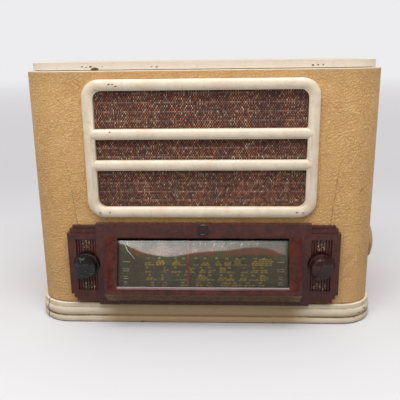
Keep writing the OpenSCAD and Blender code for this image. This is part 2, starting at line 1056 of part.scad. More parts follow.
module gang_stator() {
    rod_at = [-20, 13.5];
    bay = (gang_len - 1.5) / 2 - 1.5;
    color("gainsboro")
        for (i = [0, 1]) {
            for (k = [0:gang_plates - 1])
                translate([drum_at[0], section_start(i) + (k + 0.5) * plate_pitch, drum_at[1]])
                    rotate([-90, 0, 0])
                        linear_extrude(plate_t)
                            difference() {
                                intersection() {
                                    circle(26);
                                    translate([-30, -20])
                                        square([29, 40]);
                                }
                                circle(6);
                            }
            for (s = [-1, 1])
                translate([drum_at[0] + rod_at[0], gang_front + 1.5 + i * (gang_len - 1.5) / 2,
                           drum_at[1] + s * rod_at[1]])
                    rotate([-90, 0, 0])
                        cylinder(r = 1.2, h = bay);
        }
}

// Rotor vanes and the shaft that carries the drum. At rest the vanes are part-way in mesh.
module gang_rotor() {
    rest_angle = 75 - 90;
    color("gainsboro") {
        translate([drum_at[0], front_y - drum_out - 5, drum_at[1]])
            rotate([-90, 0, 0])
                cylinder(r = shaft_r, h = gang_front + gang_len + 4 - (front_y - drum_out - 5));
        for (i = [0, 1], k = [0:gang_plates])
            translate([drum_at[0], section_start(i) + k * plate_pitch, drum_at[1]])
                rotate([-90, 0, 0])
                    rotate([0, 0, rest_angle])
                        linear_extrude(plate_t)
                            intersection() {
                                circle(plate_r);
                                translate([-30, 0])
                                    square([60, 30]);
                            }
    }
}

// ---------- transformers, valves and cans ----------

// Laminated core standing on the chassis with its winding through it.
module transformer(x, y, w, d, h) {
    translate([x - w / 2, y - d / 4, chassis_high])
        cube([w, d / 2, h]);
    translate([x - w / 3.2, y - d / 2, chassis_high + h * 0.2])
        cube([w / 1.6, d, h * 0.6]);
}

module power_transformer() {
    color("dimgray")
        transformer(-134, -15, 66, 58, 60);
}

module output_transformer() {
    color("dimgray")
        transformer(140, 42, 42, 34, 38);
}

// Glass envelope: a straight bulb with a domed top, standing in its base.
module valve(i) {
    r = valve_r[i] - 1.5;
    translate([valve_at[i][0], valve_at[i][1], chassis_high + base_h])
        rotate_extrude()
            intersection() {
                square([r, valve_h[i]]);
                union() {
                    square([r, valve_h[i] - r]);
                    translate([0, valve_h[i] - r])
                        circle(r);
                }
            }
}

module valve_mixer() {
    color([0.7, 0.72, 0.74])
        valve(0);
}

module valve_if() {
    color([0.7, 0.72, 0.74])
        valve(1);
}

module valve_detector() {
    color([0.7, 0.72, 0.74])
        valve(2);
}

module valve_output() {
    color([0.7, 0.72, 0.74])
        valve(3);
}

module valve_rectifier() {
    color([0.7, 0.72, 0.74])
        valve(4);
}

// Base of each valve, with its spigot down through the chassis hole.
module valve_bases() {
    color([0.12, 0.1, 0.1])
        for (at = valve_at)
            translate([at[0], at[1], chassis_high]) {
                cylinder(r = base_r, h = base_h);
                translate([0, 0, -8])
                    cylinder(r = 12, h = 9);
            }
}

module if_can(x) {
    wide = 30;
    tall = 76;
    translate([x - wide / 2, -20, chassis_high])
        linear_extrude(tall)
            translate([wide / 2, wide / 2])
                round_rect(wide, wide, 4);
}

module if_can_first() {
    color("silver")
        if_can(25);
}

module if_can_second() {
    color("silver")
        if_can(-45);
}

// ---------- loudspeaker ----------

module speaker_axis() {
    translate([0, front_y - panel_back, speaker_z])
        rotate([-90, 0, 0])
            children();
}

module speaker_frame() {
    rim_r = 79;
    seat_r = 70;
    depth = 42;
    end_r = 34;
    t = 1.2;
    windows = 6;
    color("dimgray")
        speaker_axis()
            difference() {
                rotate_extrude()
                    polygon([[seat_r, 0], [rim_r, 0], [rim_r, t], [seat_r + 1, t], [end_r + 2, depth - t],
                             [end_r + 2, depth], [8, depth], [8, depth - t], [end_r, depth - t]]);
                for (i = [0:windows - 1])
                    rotate([0, 0, i * 360 / windows])
                        translate([46, -9, 12])
                            cube([18, 18, 18]);
                bolt_circle()
                    translate([0, 0, -1])
                        cylinder(r = 2.2, h = 4);
            }
}

module speaker_cone() {
    color([0.25, 0.2, 0.17])
        speaker_axis()
            rotate_extrude()
                polygon([[0, 24], [11, 30], [64, 2], [66, 0.6], [69.3, 0.6], [68.6, 1.4], [66.4, 1.4],
                         [64.4, 3], [11.5, 31], [11.5, 40], [11, 40], [11, 31], [0, 25]]);
}

module speaker_magnet() {
    color("gray")
        speaker_axis()
            translate([0, 0, 42])
                cylinder(r = 32, h = 30);
}

module bolt_circle() {
    for (i = [0:3])
        rotate([0, 0, 45 + i * 90])
            translate([75, 0, 0])
                children();
}

module speaker_bolts() {
    color("gray")
        speaker_axis()
            bolt_circle() {
                translate([0, 0, 1.2])
                    cylinder(r = 4, h = 3, $fn = 6);
                cylinder(r = 2, h = 2);
            }
}

// ---------- back ----------

module back_panel() {
    rows = 7;
    columns = 14;
    pitch = 22;
    color("sienna")
        translate([0, back_y + back_t, 0])
            rotate([90, 0, 0])
                linear_extrude(back_t)
                    difference() {
                        translate([0, (back_low + back_high) / 2])
                            round_rect(2 * back_x, back_high - back_low, 8);
                        for (i = [0:columns - 1], j = [0:rows - 1])
                            translate([(i - (columns - 1) / 2) * pitch, 150 + j * pitch])
                                circle(4.5, $fn = 32);
                        translate([inlet_x, inlet_z])
                            circle(inlet_r + 3);
                        translate([terminal_x, inlet_z])
                            round_rect(terminal_w, terminal_h, 4);
                        back_screw_places()
                            circle(2.2, $fn = 32);
                    }
}

module back_screw_places() {
    for (side = [-1, 1], z = [30, 166, 300])
        translate([side * (inner_x + wall_t / 2), z])
            children();
}

module back_screws() {
    color("goldenrod")
        translate([0, back_y + back_t, 0])
            rotate([90, 0, 0])
                back_screw_places() {
                    translate([0, 0, -1.6])
                        cylinder(r = 4, h = 1.6);
                    cylinder(r = 2, h = back_t);
                }
}

// Insulating strip with the aerial and earth sockets, behind its cut-out in the back.
module terminal_panel() {
    color("peru")
        translate([terminal_x, back_y, inlet_z])
            rotate([90, 0, 0])
                difference() {
                    linear_extrude(1.6)
                        round_rect(terminal_w + 14, terminal_h + 10, 4);
                    for (side = [-1, 1])
                        translate([side * 11, 0, -1])
                            cylinder(r = 2, h = 4);
                }
}

// Rubber ring that lines the hole where the supply cord enters.
module mains_grommet() {
    lip = 1.8;
    color([0.12, 0.12, 0.12])
        translate([inlet_x, back_y + back_t + lip, inlet_z])
            rotate([90, 0, 0])
                difference() {
                    union() {
                        cylinder(r = inlet_r + 5, h = lip);
                        cylinder(r = inlet_r + 3, h = back_t + 2 * lip);
                        translate([0, 0, back_t + lip])
                            cylinder(r = inlet_r + 5, h = lip);
                    }
                    translate([0, 0, -1])
                        cylinder(r = inlet_r, h = back_t + 2 * lip + 2);
                }
}

bottom_board();
front_panel();
side_panel_left();
side_panel_right();
corner_block_left();
corner_block_right();
top_board();
top_slab();
top_trim();
leatherette_cover();
plinth_front();
plinth_side_left();
plinth_side_right();
grille_frame();
grille_cloth();
grille_pins();
escutcheon();
emblem_disc();
dial_window();
dial_scale();
dial_frame();
dial_pointer();
pointer_rail();
dial_lamps();
dial_drum();
dial_pulleys();
dial_cord();
tuning_knob();
tuning_spindle();
volume_knob();
volume_shaft();
volume_control();
wave_knob();
wave_shaft();
wave_switch();
chassis();
chassis_runners();
chassis_bolts();
gang_frame();
gang_stator();
gang_rotor();
power_transformer();
output_transformer();
speaker_frame();
speaker_cone();
speaker_magnet();
speaker_bolts();
valve_mixer();
valve_if();
valve_detector();
valve_output();
valve_rectifier();
valve_bases();
if_can_first();
if_can_second();
back_panel();
back_screws();
terminal_panel();
mains_grommet();
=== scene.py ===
"""Looks of the table radio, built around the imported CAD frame. Metres, +Z up, front faces -Y."""
import json
import math
import random

import bpy
from mathutils import Matrix, Vector


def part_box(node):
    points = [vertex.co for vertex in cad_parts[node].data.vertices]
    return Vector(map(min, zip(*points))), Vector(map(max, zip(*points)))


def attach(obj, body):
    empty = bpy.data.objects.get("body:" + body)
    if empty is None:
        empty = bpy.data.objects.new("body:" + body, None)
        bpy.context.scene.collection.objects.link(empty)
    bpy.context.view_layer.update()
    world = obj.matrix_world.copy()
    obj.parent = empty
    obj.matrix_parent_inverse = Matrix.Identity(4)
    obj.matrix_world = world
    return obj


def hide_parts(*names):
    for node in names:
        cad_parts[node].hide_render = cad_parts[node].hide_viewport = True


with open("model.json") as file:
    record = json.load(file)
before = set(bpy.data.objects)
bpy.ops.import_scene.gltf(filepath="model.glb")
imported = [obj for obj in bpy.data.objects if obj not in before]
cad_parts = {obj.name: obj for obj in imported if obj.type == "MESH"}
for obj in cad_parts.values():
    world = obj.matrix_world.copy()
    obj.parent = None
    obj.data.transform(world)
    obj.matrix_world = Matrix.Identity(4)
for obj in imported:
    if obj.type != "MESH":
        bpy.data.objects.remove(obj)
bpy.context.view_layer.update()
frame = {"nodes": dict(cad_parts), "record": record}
nodes = frame["nodes"]
MM = 0.001

# ---------- places taken from the frame, in metres ----------

joint_at = {joint["name"]: joint.get("pos_m") for joint in frame["record"]["behaviour"]["joints"]}
KNOB_X, KNOB_Z = joint_at["tuning_turn"][0], joint_at["tuning_turn"][2]
HALF_W, FRONT_Y = -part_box("leatherette_cover")[0].x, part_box("leatherette_cover")[0].y
PLINTH_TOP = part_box("plinth_front")[1].z
GRILLE_LOW, GRILLE_TOP = (corner.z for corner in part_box("grille_frame"))
LEATHER_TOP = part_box("top_trim")[0].z
SLAB_LOW, SLAB_TOP = (corner.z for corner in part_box("top_slab"))

# ---------- camera ----------

# the camera fitted to the photograph: degrees down, to the left and of roll, its place in m, its lens in mm
TILT, YAW, ROLL = 14.97, 2.74, -0.73
CAMERA_AT = (0.0277, -0.7535, 0.3358)
LENS = 48.56


def place_camera():
    """The photograph's viewing angle: a little right of centre and above, looking down at the front."""
    tilt, yaw, roll = (math.radians(a) for a in (TILT, YAW, ROLL))
    ahead = Vector((-math.sin(yaw) * math.cos(tilt), math.cos(yaw) * math.cos(tilt), -math.sin(tilt)))
    level = Vector((math.cos(yaw), math.sin(yaw), 0.0))
    above = level.cross(ahead)
    right = math.cos(roll) * level + math.sin(roll) * above
    up = -math.sin(roll) * level + math.cos(roll) * above
    data = bpy.data.cameras.new("camera")
    data.sensor_width = 36.0
    data.lens = LENS
    data.clip_end = 50.0
    camera = bpy.data.objects.new("camera", data)
    turn = Matrix((right, up, -ahead)).transposed().to_4x4()
    camera.matrix_world = Matrix.Translation(CAMERA_AT) @ turn
    bpy.context.scene.collection.objects.link(camera)
    bpy.context.scene.camera = camera


place_camera()

# ---------- shader graphs ----------


class Graph:
    """A small builder for one node material."""

    def __init__(self, name):
        self.material = bpy.data.materials.new(name)
        self.material.use_nodes = True
        self.tree = self.material.node_tree
        self.shader = self.tree.nodes["Principled BSDF"]
        self.place = self.node("ShaderNodeTexCoord").outputs["Object"]

    def node(self, kind, **values):
        n = self.tree.nodes.new(kind)
        for key, value in values.items():
            setattr(n, key, value)
        return n

    def feed(self, socket, value):
        if isinstance(value, bpy.types.NodeSocket):
            self.tree.links.new(value, socket)
        elif isinstance(value, (tuple, list)) and len(value) == 3 and socket.type == "RGBA":
            socket.default_value = (*value, 1.0)
        else:
            socket.default_value = value

    def math(self, operation, a, b=0.0, clamp=False):
        n = self.node("ShaderNodeMath", operation=operation, use_clamp=clamp)
        self.feed(n.inputs[0], a)
        self.feed(n.inputs[1], b)
        return n.outputs[0]

    def split(self):
        n = self.node("ShaderNodeSeparateXYZ")
        self.feed(n.inputs[0], self.place)
        return n.outputs

    def stretch(self, scale, turn=(0.0, 0.0, 0.0), vector=None):
        n = self.node("ShaderNodeMapping")
        self.feed(n.inputs["Vector"], self.place if vector is None else vector)
        n.inputs["Scale"].default_value = scale
        n.inputs["Rotation"].default_value = turn
        return n.outputs[0]

    def noise(self, size_mm, detail=3.0, rough=0.55, distortion=0.0, vector=None):
        n = self.node("ShaderNodeTexNoise")
        self.feed(n.inputs["Vector"], self.place if vector is None else vector)
        n.inputs["Scale"].default_value = 1000.0 / size_mm
        n.inputs["Detail"].default_value = detail
        n.inputs["Roughness"].default_value = rough
        n.inputs["Distortion"].default_value = distortion
        return n.outputs["Fac"]

    def cells(self, size_mm, vector):
        """How far it is to the nearest edge between two cells."""
        n = self.node("ShaderNodeTexVoronoi", feature="DISTANCE_TO_EDGE")
        self.feed(n.inputs["Vector"], vector)
        n.inputs["Scale"].default_value = 1000.0 / size_mm
        return n.outputs["Distance"]

    def ease(self, value, low, high, to_low=0.0, to_high=1.0):
        n = self.node("ShaderNodeMapRange", interpolation_type="SMOOTHSTEP")
        for socket, v in zip(n.inputs, (value, low, high, to_low, to_high)):
            self.feed(socket, v)
        return n.outputs[0]

    def mix(self, share, a, b):
        n = self.node("ShaderNodeMix", data_type="RGBA")
        self.feed(n.inputs[0], share)
        self.feed(n.inputs[6], a)
        self.feed(n.inputs[7], b)
        return n.outputs[2]

    def bump(self, height, depth_mm, strength):
        n = self.node("ShaderNodeBump")
        n.inputs["Strength"].default_value = strength
        n.inputs["Distance"].default_value = depth_mm * MM
        self.feed(n.inputs["Height"], height)
        return n.outputs[0]

    def warp(self, size_mm, amount_mm):
        """The place on the object pushed about by a noise, which bends what is drawn with it."""
        n = self.node("ShaderNodeTexNoise")
        self.feed(n.inputs["Vector"], self.place)
        n.inputs["Scale"].default_value = 1000.0 / size_mm
        push = self.node("ShaderNodeVectorMath", operation="MULTIPLY_ADD")
        self.feed(push.inputs[0], n.outputs["Color"])
        push.inputs[1].default_value = (amount_mm * MM,) * 3
        self.feed(push.inputs[2], self.place)
        return push.outputs[0]

    def near(self, at_mm, radius_mm, flat):
        """1 inside a ragged blot round a place on the object, 0 outside it; flat makes it less tall."""
        ragged = 0.6
        n = self.node("ShaderNodeVectorMath", operation="DISTANCE")
        self.feed(n.inputs[0], self.stretch((1.0, 1.0, flat)))
        n.inputs[1].default_value = [v * MM * share for v, share in zip(at_mm, (1.0, 1.0, flat))]
        edge = self.math("MULTIPLY", self.noise(2.2, 4.0, 0.65), radius_mm * MM * ragged * 2.0)
        reach = self.math("ADD", edge, radius_mm * MM * (1.0 - ragged))
        return self.math("LESS_THAN", n.outputs["Value"], reach)

    def add(self, *values):
        total = values[0]
        for v in values[1:]:
            total = self.math("ADD", total, v)
        return total

    def done(self, colour=None, roughness=None, normal=None, **constants):
        for name, value in (("Base Color", colour), ("Roughness", roughness), ("Normal", normal)):
            if value is not None:
                self.feed(self.shader.inputs[name], value)
        for name, value in constants.items():
            self.feed(self.shader.inputs[name.replace("_", " ")], value)
        return self.material


def srgb(r, g, b):
    """Linear colour of an 8-bit display colour."""
    shares = (r / 255, g / 255, b / 255)
    return tuple(v / 12.92 if v <= 0.04045 else ((v + 0.055) / 1.055) ** 2.4 for v in shares)


# ---------- materials ----------

# plain, pale, low on the cabinet, painted highlight on the tops of the grain, painted shade in its creases
LEATHER = (srgb(208, 162, 104), srgb(216, 172, 113), srgb(214, 170, 118), srgb(231, 191, 136),
           srgb(154, 109, 58))


def leatherette():
    g = Graph("leatherette")
    z = g.split()[2]
    leaning = g.stretch((1.0, 1.0, 1.0), (0.0, 0.85, 0.0), g.warp(7.0, 4.5))
    grain = g.cells(2.9, g.stretch((0.5, 0.8, 1.0), vector=leaning))
    crown = g.ease(grain, 0.0, 0.3)
    folds = g.noise(9.0, 3.0, 0.55, 0.8, g.stretch((0.6, 1.0, 1.2), vector=leaning))
    pebble = g.noise(1.2, 3.0, 0.6)
    height = g.add(g.math("MULTIPLY", crown, 0.8), folds, g.math("MULTIPLY", pebble, 0.3))
    tone = g.mix(g.ease(g.noise(70.0, 3.0, 0.6), 0.3, 0.7), LEATHER[0], LEATHER[1])
    tone = g.mix(g.ease(z, 0.16, 0.02, 0.0, 0.6), tone, LEATHER[2])
    # painted highlight: lighter on the crests of the folds
    tone = g.mix(g.ease(folds, 0.5, 0.68, 0.0, 0.4), tone, LEATHER[3])
    # painted shade: darker in the grain's creases
    depth = g.ease(g.noise(26.0, 2.0, 0.5), 0.35, 0.65, 0.2, 0.6)
    tone = g.mix(g.math("MULTIPLY", g.ease(grain, 0.12, 0.0), depth), tone, LEATHER[4])
    # painted highlight: lighter on the tops of the small pebbles
    tone = g.mix(g.ease(pebble, 0.5, 0.7, 0.0, 0.2), tone, LEATHER[3])
    # painted shade: darker along the top under the trim, and a painted shadow line where it meets the plinth
    tone = g.mix(g.ease(z, LEATHER_TOP - 0.0186, LEATHER_TOP - 0.0046, 0.0, 0.45), tone, srgb(190, 150, 100))
    patchy = g.ease(g.noise(20.0, 3.0, 0.6), 0.3, 0.5, 0.55, 1.0)
    foot = g.math("MULTIPLY", g.ease(z, PLINTH_TOP + 0.0022, PLINTH_TOP + 0.0008), patchy)
    tone = g.mix(g.math("MULTIPLY", foot, 0.75), tone, srgb(96, 62, 30))
    speck = g.ease(g.noise(6.0, 2.0, 0.5, 0.8), 0.8, 0.84)
    tone = g.mix(g.math("MULTIPLY", speck, 0.4), tone, srgb(96, 66, 38))
    return g.done(tone, g.ease(pebble, 0.3, 0.7, 0.42, 0.62), g.bump(height, 0.6, 0.8),
                  **{"Specular_IOR_Level": 0.3})


# groups of chips through the paint: their middle in mm, how many, how far they spread along and up, size
CHIP_GROUPS = (((-125, 321.5), 1, 0, 0, 4.8), ((-135, 324.5), 3, 5, 0.4, 1.5), ((-116, 325), 1, 0, 0, 0.9),
               ((-55, 324), 2, 3, 0.3, 1.4), ((135, 324), 3, 6, 0.3, 1.5), ((-103, 303.5), 3, 4, 1.5, 1.4),
               ((-109, 249.5), 1, 0, 0, 1.4), ((-120, 150.5), 2, 6, 0.5, 1.6), ((115, 150.5), 1, 0, 0, 1.8),
               ((-80, 1), 1, 0, 0, 2.4), ((60, 1), 2, 30, 0, 1.2))
# chips round the plinth's right front corner: degrees from straight ahead, height, size
CORNER_CHIPS = ((48, 16, 1.7), (34, 13, 1.3), (44, 12, 1.5), (24, 8.5, 1.4), (30, 9.5, 1.2), (56, 10, 1.2))
# how far forward the painted faces stand, and the radius of the cabinet's corners and of the plinth's, in mm
SLAB_FACE, GRILLE_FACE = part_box("top_slab")[0].y / MM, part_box("grille_frame")[0].y / MM
PLINTH_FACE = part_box("plinth_front")[0].y / MM + 0.7
CABINET_R, PLINTH_R = 39.0, 43.6
CORNER_AT = (HALF_W / MM - CABINET_R, FRONT_Y / MM + CABINET_R)


def chip_places():
    """Every chip's place, size and how much wider than tall it is, in mm."""
    random.seed(5)
    places = []
    for (x, z), count, along, up, size in CHIP_GROUPS:
        face = SLAB_FACE if z * MM > SLAB_LOW else GRILLE_FACE if z * MM > GRILLE_LOW else PLINTH_FACE
        for i in range(count):
            step = 0.0 if count == 1 else along * (2.0 * i / (count - 1) - 1.0)
            places.append(((x + step, face, z + random.uniform(-up, up)), size * random.uniform(0.7, 1.1),
                           random.uniform(1.3, 2.4)))
    for angle, z, size in CORNER_CHIPS:
        turn = math.radians(angle)
        x, y = CORNER_AT[0] + PLINTH_R * math.sin(turn), CORNER_AT[1] - PLINTH_R * math.cos(turn)
        places.append(((x, y, z), size, 1.2))
    return places


# heights of the plinth's grooves and foot, how far painted shade spreads from each, in metres, and how dark
# it is; at the foot it is a painted contact shadow
GROOVE_SHADE = ((0.0090, 0.0009, 0.9), (0.0206, 0.0007, 0.45), (0.0003, 0.0012, 0.9))


def cream_paint():
    g = Graph("cream_paint")
    x, y, z = g.split()
    out = g.math("SUBTRACT", FRONT_Y, y)
    patch = g.noise(24.0, 4.0, 0.6)
    tone = g.mix(g.ease(patch, 0.35, 0.65), srgb(231, 216, 194), srgb(221, 203, 178))
    tone = g.mix(g.ease(z, 0.034, 0.004, 0.0, 0.5), tone, srgb(222, 202, 172))
    tone = g.mix(g.ease(z, SLAB_LOW - 0.0016, SLAB_LOW + 0.0004, 0.0, 0.8), tone, srgb(228, 215, 198))
    # the slab's top has yellowed under dust
    clouds = g.ease(g.noise(60.0, 4.0, 0.6), 0.3, 0.7, 0.55, 0.95)
    dust = g.math("MULTIPLY", g.ease(z, SLAB_TOP - 0.0009, SLAB_TOP - 0.0002), clouds)
    tone = g.mix(dust, tone, srgb(206, 188, 158))
    grime = g.ease(g.noise(6.0, 5.0, 0.7, 0.5), 0.54, 0.72, 0.0, 0.45)
    tone = g.mix(grime, tone, srgb(200, 174, 140))
    # painted shade in the plinth's grooves, and a painted contact shadow along its foot
    for level, reach, dark in GROOVE_SHADE:
        near = g.ease(g.math("ABSOLUTE", g.math("SUBTRACT", z, level)), reach * 0.5, reach * 1.6, 1.0, 0.0)
        near = g.math("MULTIPLY", near, g.ease(g.noise(14.0, 4.0, 0.6), 0.3, 0.52, 0.4 * dark, dark))
        tone = g.mix(near, tone, srgb(132, 100, 68))
    # painted shade: brown where the grille frame meets the front
    on_grille = g.math("MULTIPLY", g.ease(z, GRILLE_LOW - 0.02, GRILLE_LOW - 0.01),
                       g.ease(z, GRILLE_TOP + 0.0021, GRILLE_TOP + 0.0016))
    foot = g.math("MULTIPLY", g.ease(out, 0.0022, 0.0003), on_grille)
    tone = g.mix(g.math("MULTIPLY", foot, 0.6), tone, srgb(164, 124, 84))
    # painted shade: the plinth is browner where the dial overhangs and shades it
    dial_overhang_shade = g.math("MULTIPLY", g.ease(g.math("ABSOLUTE", x), 0.142, 0.108),
                        g.ease(z, PLINTH_TOP - 0.0002, PLINTH_TOP - 0.0029))
    tone = g.mix(g.math("MULTIPLY", dial_overhang_shade, 0.75), tone, srgb(186, 150, 104))
    # the moulding's left joint has opened and holds dirt
    across_joint = g.math("ABSOLUTE", g.math("SUBTRACT", g.math("ADD", x, CORNER_AT[0] * MM),
                                             g.math("SUBTRACT", y, CORNER_AT[1] * MM)))
    ragged = g.math("MULTIPLY", g.noise(3.0, 4.0, 0.65), 0.0030)
    joint = g.math("MULTIPLY", g.math("LESS_THAN", across_joint, ragged), g.ease(x, -0.19, -0.192))
    joint = g.math("MULTIPLY", joint, g.ease(z, PLINTH_TOP + 0.0006, PLINTH_TOP - 0.0004))
    tone = g.mix(g.math("MULTIPLY", joint, 0.8), tone, srgb(104, 80, 58))
    bare = None
    for at, radius, flat in chip_places():
        spot = g.near(at, radius, flat)
        bare = spot if bare is None else g.math("MAXIMUM", bare, spot)
    tone = g.mix(bare, tone, g.mix(g.noise(1.5), srgb(70, 44, 28), srgb(142, 100, 66)))
    scratch = g.ease(g.noise(3.0, 3.0, 0.6, 1.5, g.stretch((0.12, 1.0, 1.2), (0.0, 0.5, 0.0))), 0.7, 0.76)
    tone = g.mix(g.math("MULTIPLY", scratch, 0.4), tone, srgb(170, 138, 104))
    height = g.add(g.noise(9.0, 3.0, 0.5), g.math("MULTIPLY", g.noise(1.2, 2.0, 0.5), 0.08),
                   g.math("MULTIPLY", bare, -0.5))
    return g.done(tone, g.ease(patch, 0.3, 0.7, 0.3, 0.42), g.bump(height, 0.35, 0.5))


# the reeded panels at the knobs: their middle above the shaft, half their width and half their height
REEDS = ((0.0255, 0.0062, 0.0075), (-0.0295, 0.0092, 0.0060))


def bakelite(name, deep, warm, pale, gloss=0.2, worn=False):
    g = Graph(name)
    swirl = g.noise(16.0, 5.0, 0.62, 1.6)
    tone = g.mix(g.ease(swirl, 0.36, 0.62), deep, warm)
    tone = g.mix(g.ease(g.noise(4.0, 5.0, 0.7, 0.8), 0.6, 0.78, 0.0, 0.3), tone, pale)
    if worn:
        # cream flecks left on the reeds above and below the knobs
        x, y, z = g.split()
        side = g.math("ABSOLUTE", g.math("SUBTRACT", g.math("ABSOLUTE", x), KNOB_X))
        crown = g.ease(y, FRONT_Y - 0.00565, FRONT_Y - 0.00585)
        panels = []
        for middle, half_w, half_h in REEDS:
            away = g.math("ABSOLUTE", g.math("SUBTRACT", z, KNOB_Z + middle))
            panels.append(g.math("MULTIPLY", g.ease(side, half_w, half_w - 0.0022),
                                 g.ease(away, half_h, half_h - 0.002)))
        flake = g.ease(g.noise(2.2, 4.0, 0.75, 0.5), 0.55, 0.6)
        gilt = g.math("MULTIPLY", g.math("MULTIPLY", g.math("MAXIMUM", *panels), flake), crown)
        tone = g.mix(gilt, tone, srgb(224, 200, 172))
    height = g.add(g.noise(11.0, 2.0, 0.5), g.math("MULTIPLY", g.noise(0.9, 2.0, 0.5), 0.01))
    rough = g.ease(g.noise(9.0, 3.0, 0.6), 0.3, 0.75, gloss, gloss + 0.12)
    return g.done(tone, rough, g.bump(height, 0.03, 0.5),
                  **{"Specular_IOR_Level": 0.4, "Coat_Weight": 0.5, "Coat_Roughness": 0.08})


def cracked_knob(name, deep, warm, gloss, crack_mm, line_tone):
    g = Graph(name)
    edge = g.cells(crack_mm, g.stretch((1.0, 1.0, 0.8)))
    open_here = g.ease(g.noise(12.0, 2.0, 0.5), 0.55, 0.6)
    crack = g.math("MULTIPLY", g.ease(edge, 0.03, 0.01), open_here)
    tone = g.mix(g.ease(g.noise(3.0, 4.0, 0.6, 0.8), 0.38, 0.62), deep, warm)
    fleck = g.ease(g.noise(2.0, 3.0, 0.6, 0.5), 0.68, 0.72)
    tone = g.mix(g.math("MULTIPLY", fleck, 0.5), tone, srgb(150, 128, 118))
    tone = g.mix(g.math("MULTIPLY", crack, 0.4), tone, line_tone)
    height = g.add(g.math("MULTIPLY", crack, -0.8), g.noise(4.0, 3.0, 0.5))
    return g.done(tone, g.ease(g.noise(3.0), 0.3, 0.7, gloss, gloss + 0.14), g.bump(height, 0.14, 0.5),
                  **{"Specular_IOR_Level": 0.4, "Coat_Weight": 0.5, "Coat_Roughness": 0.08})


def tan_plastic():
    g = Graph("tan_plastic")
    swirl = g.noise(9.0, 4.0, 0.6, 1.2)
    tone = g.mix(g.ease(swirl, 0.35, 0.65), srgb(198, 160, 110), srgb(176, 136, 90))
    tone = g.mix(g.ease(g.noise(3.0, 4.0, 0.7), 0.6, 0.72, 0.0, 0.5), tone, srgb(124, 92, 60))
    return g.done(tone, g.ease(swirl, 0.3, 0.7, 0.3, 0.45), g.bump(g.noise(2.5, 3.0, 0.5), 0.15, 0.5))


def timber(name, light, dark, along):
    """Sawn wood or ply with its grain along one axis."""
    g = Graph(name)
    squeeze = [1.0, 1.0, 1.0]
    squeeze[along] = 0.06
    fibre = g.noise(5.0, 5.0, 0.65, 0.8, g.stretch(squeeze))
    pore = g.noise(0.9, 3.0, 0.6, 0.0, g.stretch(squeeze))
    tone = g.mix(g.ease(fibre, 0.32, 0.68), light, dark)
    tone = g.mix(g.ease(pore, 0.55, 0.75, 0.0, 0.5), tone, dark)
    return g.done(tone, g.ease(fibre, 0.3, 0.7, 0.55, 0.75), g.bump(pore, 0.2, 0.6))


def hardboard():
    g = Graph("hardboard")
    fibre = g.noise(2.2, 5.0, 0.75, 1.0)
    tone = g.mix(g.ease(fibre, 0.35, 0.65), srgb(92, 62, 38), srgb(124, 88, 56))
    tone = g.mix(g.ease(g.noise(40.0, 3.0, 0.6), 0.45, 0.7, 0.0, 0.4), tone, srgb(74, 50, 32))
    return g.done(tone, g.ease(fibre, 0.3, 0.7, 0.6, 0.8), g.bump(fibre, 0.25, 0.7))


def metal(name, colour, tarnish, rough, brush=(1.0, 1.0, 1.0), spots=0.3):
    g = Graph(name)
    patch = g.noise(12.0, 4.0, 0.65, 0.6)
    tone = g.mix(g.ease(patch, 0.45, 0.75, 0.0, spots), colour, tarnish)
    lines = g.noise(0.7, 3.0, 0.6, 0.0, g.stretch(brush))
    roughness = g.math("ADD", g.ease(patch, 0.3, 0.8, rough, rough + 0.2), g.math("MULTIPLY", lines, 0.08))
    return g.done(tone, roughness, g.bump(lines, 0.05, 0.5), Metallic=1.0)


def enamel(name, base, dull, rough=0.35, size=6.0, depth=0.12):
    """Paint, print, rubber or card: one colour with its own mottle."""
    g = Graph(name)
    patch = g.noise(size, 4.0, 0.65, 0.4)
    tone = g.mix(g.ease(patch, 0.36, 0.66), base, dull)
    return g.done(tone, g.ease(patch, 0.3, 0.75, rough, rough + 0.18),
                  g.bump(g.noise(size / 4, 3.0, 0.6), depth, 0.5))


def glass(name, tint, rough, share):
    """Thin clear sheet or bulb: what is behind shows through, and it mirrors by Fresnel."""
    g = Graph(name)
    smear = g.noise(18.0, 4.0, 0.6, 0.5)
    clear = g.node("ShaderNodeBsdfTransparent")
    g.feed(clear.inputs["Color"], g.mix(g.ease(smear, 0.4, 0.7), tint, tuple(v * 0.86 for v in tint)))
    shine = g.node("ShaderNodeBsdfGlossy")
    g.feed(shine.inputs["Roughness"], g.ease(smear, 0.3, 0.7, rough, rough + 0.08))
    fresnel = g.node("ShaderNodeFresnel")
    fresnel.inputs["IOR"].default_value = 1.5
    amount = g.math("ADD", g.math("MULTIPLY", fresnel.outputs[0], 1.6), share, clamp=True)
    both = g.node("ShaderNodeMixShader")
    for socket, value in zip(both.inputs, (amount, clear.outputs[0], shine.outputs[0])):
        g.feed(socket, value)
    g.feed(g.tree.nodes["Material Output"].inputs["Surface"], both.outputs[0])
    g.tree.nodes.remove(g.shader)
    return g.material


def woven():
    """The grille cloth's yarn: the colour of each yarn float comes from the mesh's own attribute."""
    g = Graph("woven_cloth")
    yarn = g.node("ShaderNodeAttribute", attribute_name="yarn").outputs["Color"]
    fuzz = g.noise(0.5, 3.0, 0.7)
    tone = g.mix(g.ease(fuzz, 0.35, 0.7, 0.0, 0.3), yarn, srgb(44, 26, 20))
    soot = g.noise(38.0, 3.0, 0.6, 0.0, g.stretch((1.0, 1.0, 0.35)))
    tone = g.mix(g.ease(soot, 0.4, 0.66, 0.0, 0.4), tone, srgb(40, 24, 19))
    return g.done(tone, g.ease(fuzz, 0.3, 0.7, 0.6, 0.85), g.bump(fuzz, 0.12, 0.6), **{"Sheen_Weight": 0.15})


